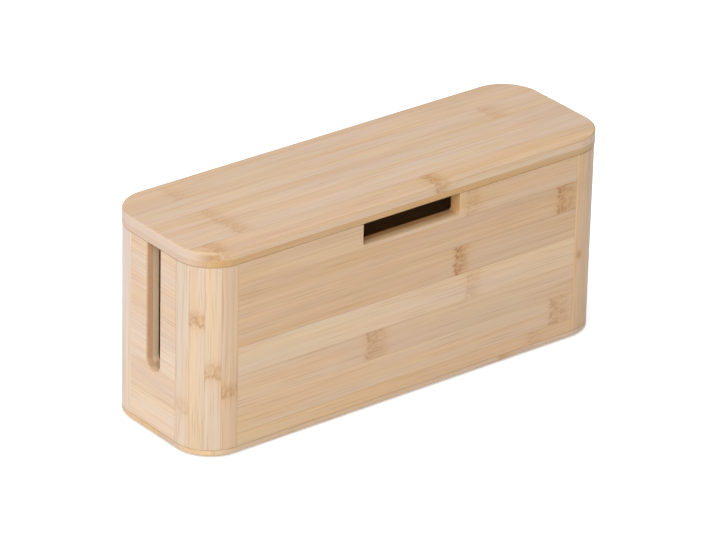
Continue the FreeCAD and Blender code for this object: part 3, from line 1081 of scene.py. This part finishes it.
screw_low, screw_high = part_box("bottom_screws")
screw_length = screw_high.z - screw_low.z
head_radius = np.linspace(FIRST_RING, SCREW_HEAD - HEAD_CHAMFER, HEAD_RINGS)
shank_height = np.linspace(SHANK_START, screw_length, THREAD_RINGS)
neck_height = SCREW_HEAD - SCREW_CORE + HEAD_CHAMFER
screw_radius = np.concatenate([head_radius, [SCREW_HEAD, SCREW_CORE], np.full(THREAD_RINGS, SCREW_CORE)])
screw_height = np.concatenate([np.zeros(HEAD_RINGS), [HEAD_CHAMFER, neck_height], shank_height])

to_point = np.clip((screw_length - screw_height) / POINT_LENGTH, POINT_SHARE, 1.0)
on_shank = np.clip((screw_height - SHANK_START) / SCREW_PITCH, 0.0, 1.0) * to_point
phase = screw_height[:, None] / SCREW_PITCH - ANGLES / (2.0 * np.pi)
ridge = np.maximum(0.0, 1.0 - RIDGE_SHARPNESS * np.abs(phase - np.round(phase)))
taper = np.where(screw_height >= SHANK_START, to_point, 1.0)[:, None]
radius = screw_radius[:, None] * taper + (SCREW_OUTER - SCREW_CORE) * on_shank[:, None] * ridge

x, y = np.abs(radius * np.cos(ANGLES)), np.abs(radius * np.sin(ANGLES))
in_bar = np.clip((BAR_HALF_WIDTH - np.minimum(x, y)) / BAR_EDGE + 0.5, 0.0, 1.0)
in_reach = np.clip((BAR_LENGTH - radius) / BAR_EDGE + 0.5, 0.0, 1.0)
dip = RECESS_DEPTH * in_bar * in_reach * (1.0 - RECESS_RISE * radius / BAR_LENGTH)
height = screw_height[:, None] + dip * (screw_height == 0.0)[:, None]
print("thread turns:", round((screw_length - SHANK_START) / SCREW_PITCH, 1))

# %% [markdown]
# ## Zinc-plated steel
#
# Bright zinc is a little cloudy, and slightly blue in one place and straw-coloured in another.
# Fine rings from the heading tool run round the head. A plain grey metal would be quicker, but
# what tells plating from paint is just this cloud and these rings. They read the stored angle and
# way along the profile, so they follow the shape of every screw.

# %% Screw material and the four screws
ZINC_BLUE = tone(196, 203, 212)
ZINC_STRAW = tone(214, 207, 190)
TOOL_RINGS = (0.6, 0.6, 0.12 * MM)
UNMOVED = (0.0, 0.0, 0.0)
CLOUDY_RANGE = (0.3, 0.7)
STEEL_DUST = 0.6
STEEL_SMOOTH, STEEL_RING_REACH, STEEL_DUST_REACH = 0.20, 0.18, 0.4
RING_STRENGTH, RING_DEPTH = 0.4, 0.02 * MM

steel, tree, shader = new_material("zinc_plated_steel")
shader.inputs["Metallic"].default_value = 1.0
coords = add_node(tree, "TexCoord").outputs["Object"]
stored = add_node(tree, "Attribute", attribute_name=ROUND_MARKS).outputs["Vector"]
cloudy = stretched_noise(tree, coords, GATHER, UNMOVED, detail=3.0)
cloudy = soft_step(tree, cloudy, *CLOUDY_RANGE)
rings = stretched_noise(tree, stored, TOOL_RINGS, UNMOVED)
dust = use_group(tree, dust_group, {"Vector": coords, "Amount": STEEL_DUST})["Dust"]
plated = mix_colour(tree, cloudy, ZINC_BLUE, ZINC_STRAW)
fill(tree, shader.inputs["Base Color"], mix_colour(tree, dust, plated, DUST))
rough = calc(tree, "MULTIPLY_ADD", rings, STEEL_RING_REACH, STEEL_SMOOTH)
fill(tree, shader.inputs["Roughness"], calc(tree, "MULTIPLY_ADD", dust, STEEL_DUST_REACH, rough))
bump = add_node(tree, "Bump", {"Height": rings, "Strength": RING_STRENGTH, "Distance": RING_DEPTH})
fill(tree, shader.inputs["Normal"], bump.outputs[0])

screw_x = screw_high.x - SCREW_HEAD
screw_y = screw_high.y - SCREW_HEAD
screw_places = [(x, y, screw_low.z) for x in (-screw_x, screw_x) for y in (-screw_y, screw_y)]
turned_piece(
    "countersunk_screws", radius, height, screw_places, steel, "bottom_screws"
)

# %% [markdown]
# ## The rubber pads
#
# Four stick-on pads keep the box from sliding and lift it by 1.5 mm, which is why a thin shadow
# runs under it. Such a pad is moulded: its foot edge is rounded, and its underside is slightly
# hollow with shallow rings that fade towards the edge, so that it grips. A disc with a Bevel
# modifier would give the edge but neither the hollow nor the rings. So it is turned, as the
# screws are. The profile is the underside from the middle outwards, then the rounded edge, the
# side, which leans in a little, and the glued top.

# %% Pad shape
PAD_ROUND = 0.45 * MM
PAD_LEAN = 0.12 * MM
HOLLOW = 0.18 * MM
GRIP_RING = 0.10 * MM
GRIP_RINGS = 6
PAD_MIDDLE = 0.2 * MM
UNDER_RINGS, ROUND_RINGS, TOP_RINGS = 22, 7, 4

pad_low, pad_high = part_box("pad_front_left")
pad_radius = (pad_high.x - pad_low.x) / 2.0
pad_thickness = pad_high.z - pad_low.z
foot_radius = pad_radius - PAD_ROUND
under = np.linspace(PAD_MIDDLE, foot_radius, UNDER_RINGS)
share = under / foot_radius
grip = GRIP_RING * np.sin(share * GRIP_RINGS * np.pi) ** 2 * np.sqrt(1.0 - share)
under_height = HOLLOW * (1.0 - share**4) + grip
turn = np.linspace(0.0, np.pi / 2.0, ROUND_RINGS)[1:]
round_radius = foot_radius + PAD_ROUND * np.sin(turn)
round_height = PAD_ROUND * (1.0 - np.cos(turn))
top_radius = np.linspace(pad_radius - PAD_LEAN, PAD_MIDDLE, TOP_RINGS)
profile_radius = np.concatenate([under, round_radius, top_radius])[:, None]
profile_height = np.concatenate([under_height, round_height, np.full(TOP_RINGS, pad_thickness)])[:, None]
print("pad in mm:", round(2 * pad_radius / MM, 2), "across,", round(pad_thickness / MM, 2), "thick")

# %% [markdown]
# ## Rubber
#
# Black rubber is never quite black. It has a fine mould grain, a grey bloom in patches and fine
# dust. One dark grey would look like a hole in the picture. So a broad noise mixes two greys and
# dulls the paler one, and a fine noise stands for the grain.

# %% Pad material and the four pads
RUBBER_BLACK = tone(34, 33, 32)
RUBBER_BLOOM = tone(74, 72, 70)
MOULD_GRAIN = (0.30 * MM, 0.30 * MM, 0.30 * MM)
BLOOM_SHIFT, GRAIN_SHIFT = (7.0, 8.0, 9.0), (2.0, 2.0, 2.0)
BLOOM_RANGE = (0.4, 0.8)
RUBBER_DUST, DUST_REACH = 1.0, 0.5
RUBBER_ROUGH, BLOOM_REACH = 0.68, 0.15
GRAIN_STRENGTH, GRAIN_DEPTH = 0.5, 0.03 * MM

rubber, tree, shader = new_material("pad_rubber")
coords = add_node(tree, "TexCoord").outputs["Object"]
bloom = stretched_noise(tree, coords, GATHER, BLOOM_SHIFT, detail=3.0)
bloom = soft_step(tree, bloom, *BLOOM_RANGE)
grain = stretched_noise(tree, coords, MOULD_GRAIN, GRAIN_SHIFT, detail=1.0)
dust = use_group(tree, dust_group, {"Vector": coords, "Amount": RUBBER_DUST})["Dust"]
black = mix_colour(tree, bloom, RUBBER_BLACK, RUBBER_BLOOM)
dust_share = calc(tree, "MULTIPLY", dust, DUST_REACH)
fill(tree, shader.inputs["Base Color"], mix_colour(tree, dust_share, black, DUST))
fill(tree, shader.inputs["Roughness"], calc(tree, "MULTIPLY_ADD", bloom, BLOOM_REACH, RUBBER_ROUGH))
bump = add_node(tree, "Bump", {"Height": grain, "Strength": GRAIN_STRENGTH, "Distance": GRAIN_DEPTH})
fill(tree, shader.inputs["Normal"], bump.outputs[0])

for corner in CORNERS:
    low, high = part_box(f"pad_{corner}")
    centre = ((low.x + high.x) / 2.0, (low.y + high.y) / 2.0, low.z)
    turned_piece(
        f"rubber_pad_{corner}", profile_radius, profile_height, [centre], rubber,
        f"pad_{corner}",
    )

# %% [markdown]
# ## Floor and background
#
# The box stands on a plain white floor that runs on past the edge of the picture. In a catalogue
# picture such a floor is a pane of white acrylic lit from below, which washes the shadows out.
# Here only the camera sees that glow, so it whitens the picture and leaves the light on the box
# to the softboxes. A dim world stands for the walls of the studio. It too has a second colour
# that only the camera sees, the pale one of the far floor, so that a view from low down has no
# dark wall behind the box.

# %% Floor and world
FLOOR_HALF = 12.0
FLOOR_WHITE = (0.90, 0.90, 0.90, 1.0)
FLOOR_ROUGH = 0.8
FLOOR_GLOW = 0.45
GLOW_WHITE = (1.0, 1.0, 1.0, 1.0)
STUDIO_DIM = (0.232, 0.223, 0.209, 1.0)
BACKDROP = (0.79, 0.79, 0.785, 1.0)

floor_mesh = bpy.data.meshes.new("floor")
floor_corners = [(x * FLOOR_HALF, y * FLOOR_HALF, 0.0) for x, y in ((-1, -1), (1, -1), (1, 1), (-1, 1))]
floor_mesh.from_pydata(floor_corners, [], [(0, 1, 2, 3)])
add_object("floor", floor_mesh)
floor_paint, tree, shader = new_material("floor_paint")
shader.inputs["Base Color"].default_value = FLOOR_WHITE
shader.inputs["Roughness"].default_value = FLOOR_ROUGH
shader.inputs["Emission Color"].default_value = GLOW_WHITE
seen_by_camera = add_node(tree, "LightPath").outputs["Is Camera Ray"]
fill(tree, shader.inputs["Emission Strength"], calc(tree, "MULTIPLY", seen_by_camera, FLOOR_GLOW))
floor_mesh.materials.append(floor_paint)

world = bpy.data.worlds.new("studio")
world.use_nodes = True
tree = world.node_tree
seen_by_camera = add_node(tree, "LightPath").outputs["Is Camera Ray"]
studio = mix_colour(tree, seen_by_camera, STUDIO_DIM, BACKDROP)
fill(tree, tree.nodes["Background"].inputs["Color"], studio)
scene.world = world
scene.view_settings.view_transform = "Standard"
scene.view_settings.look = "None"
print("floor and world ready")

# %% [markdown]
# ## Lights
#
# The main softbox hangs high at the front left. It looks into the slot and the cut-out, whose
# cut sides are bright in the picture. A large one overhead, slightly cool, lights the lid, a
# weak low one at the left lifts the left end, which is the brightest side, and a cool one behind
# draws the left outline. A single sun lamp would light the same sides, but with hard shadows. The
# powers were found by rendering each light alone and weighing the results against the picture.


# %% Softboxes
def softbox(name, place, size, power, colour):
    """A square area light at one point, aimed at the middle of the box."""
    light = bpy.data.lights.new(name, "AREA")
    light.size = size
    light.energy = power
    light.color = colour
    made = add_object(name, light)
    aim = Vector((0.0, 0.0, cad_box[1][2] / 2.0)) - Vector(place)
    made.location = place
    made.rotation_euler = aim.to_track_quat("-Z", "Y").to_euler()


softbox("main", place=(-1.7, -1.6, 2.0), size=1.8, power=53.0, colour=(1.0, 0.99, 0.91))
softbox("overhead", place=(-0.4, 0.2, 2.8), size=2.6, power=54.0, colour=(0.94, 0.99, 1.17))
softbox("low_left", place=(-2.6, -1.2, 0.7), size=1.6, power=8.5, colour=(1.0, 1.0, 1.02))
softbox("back_left", place=(-0.9, 2.6, 1.0), size=1.4, power=12.0, colour=(0.9, 1.0, 1.25))

# %% [markdown]
# ## Camera
#
# The picture was taken with a long lens from the front left, a little above. A camera can be
# turned by eye until the picture looks right, but then a wrong lens hides a wrong distance. So
# the turn, tilt and roll below were found by matching the outline of the box, its slot and its
# cut-out with the picture. The camera looks at a point near the middle of the box, slid a little
# up and aside.

# %% Camera
CAMERA_TURN = math.radians(-38.6694)
CAMERA_TILT = math.radians(26.4168)
CAMERA_ROLL = math.radians(1.4574)
CAMERA_DISTANCE = 3.23734
CAMERA_SLIDE = (0.00003, 0.05868)
CAMERA_BASE = 0.0015
CAMERA_LENS = 258.04
SENSOR = 36.0

level = math.cos(CAMERA_TILT)
back = Vector((math.sin(CAMERA_TURN) * level, -math.cos(CAMERA_TURN) * level, math.sin(CAMERA_TILT)))
right = Z.cross(back).normalized()
up = back.cross(right)
rolled_right = math.cos(CAMERA_ROLL) * right + math.sin(CAMERA_ROLL) * up
rolled_up = -math.sin(CAMERA_ROLL) * right + math.cos(CAMERA_ROLL) * up
centre = back * CAMERA_DISTANCE + rolled_right * CAMERA_SLIDE[0] + rolled_up * CAMERA_SLIDE[1]
centre.z += CAMERA_BASE
camera_data = bpy.data.cameras.new("camera")
camera_data.lens = CAMERA_LENS
camera_data.sensor_width = SENSOR
camera = add_object("camera", camera_data)
axes = Matrix((rolled_right, rolled_up, back)).transposed().to_4x4()
camera.matrix_world = Matrix.Translation(centre) @ axes
scene.camera = camera
print("camera stands at", [round(value, 2) for value in centre])
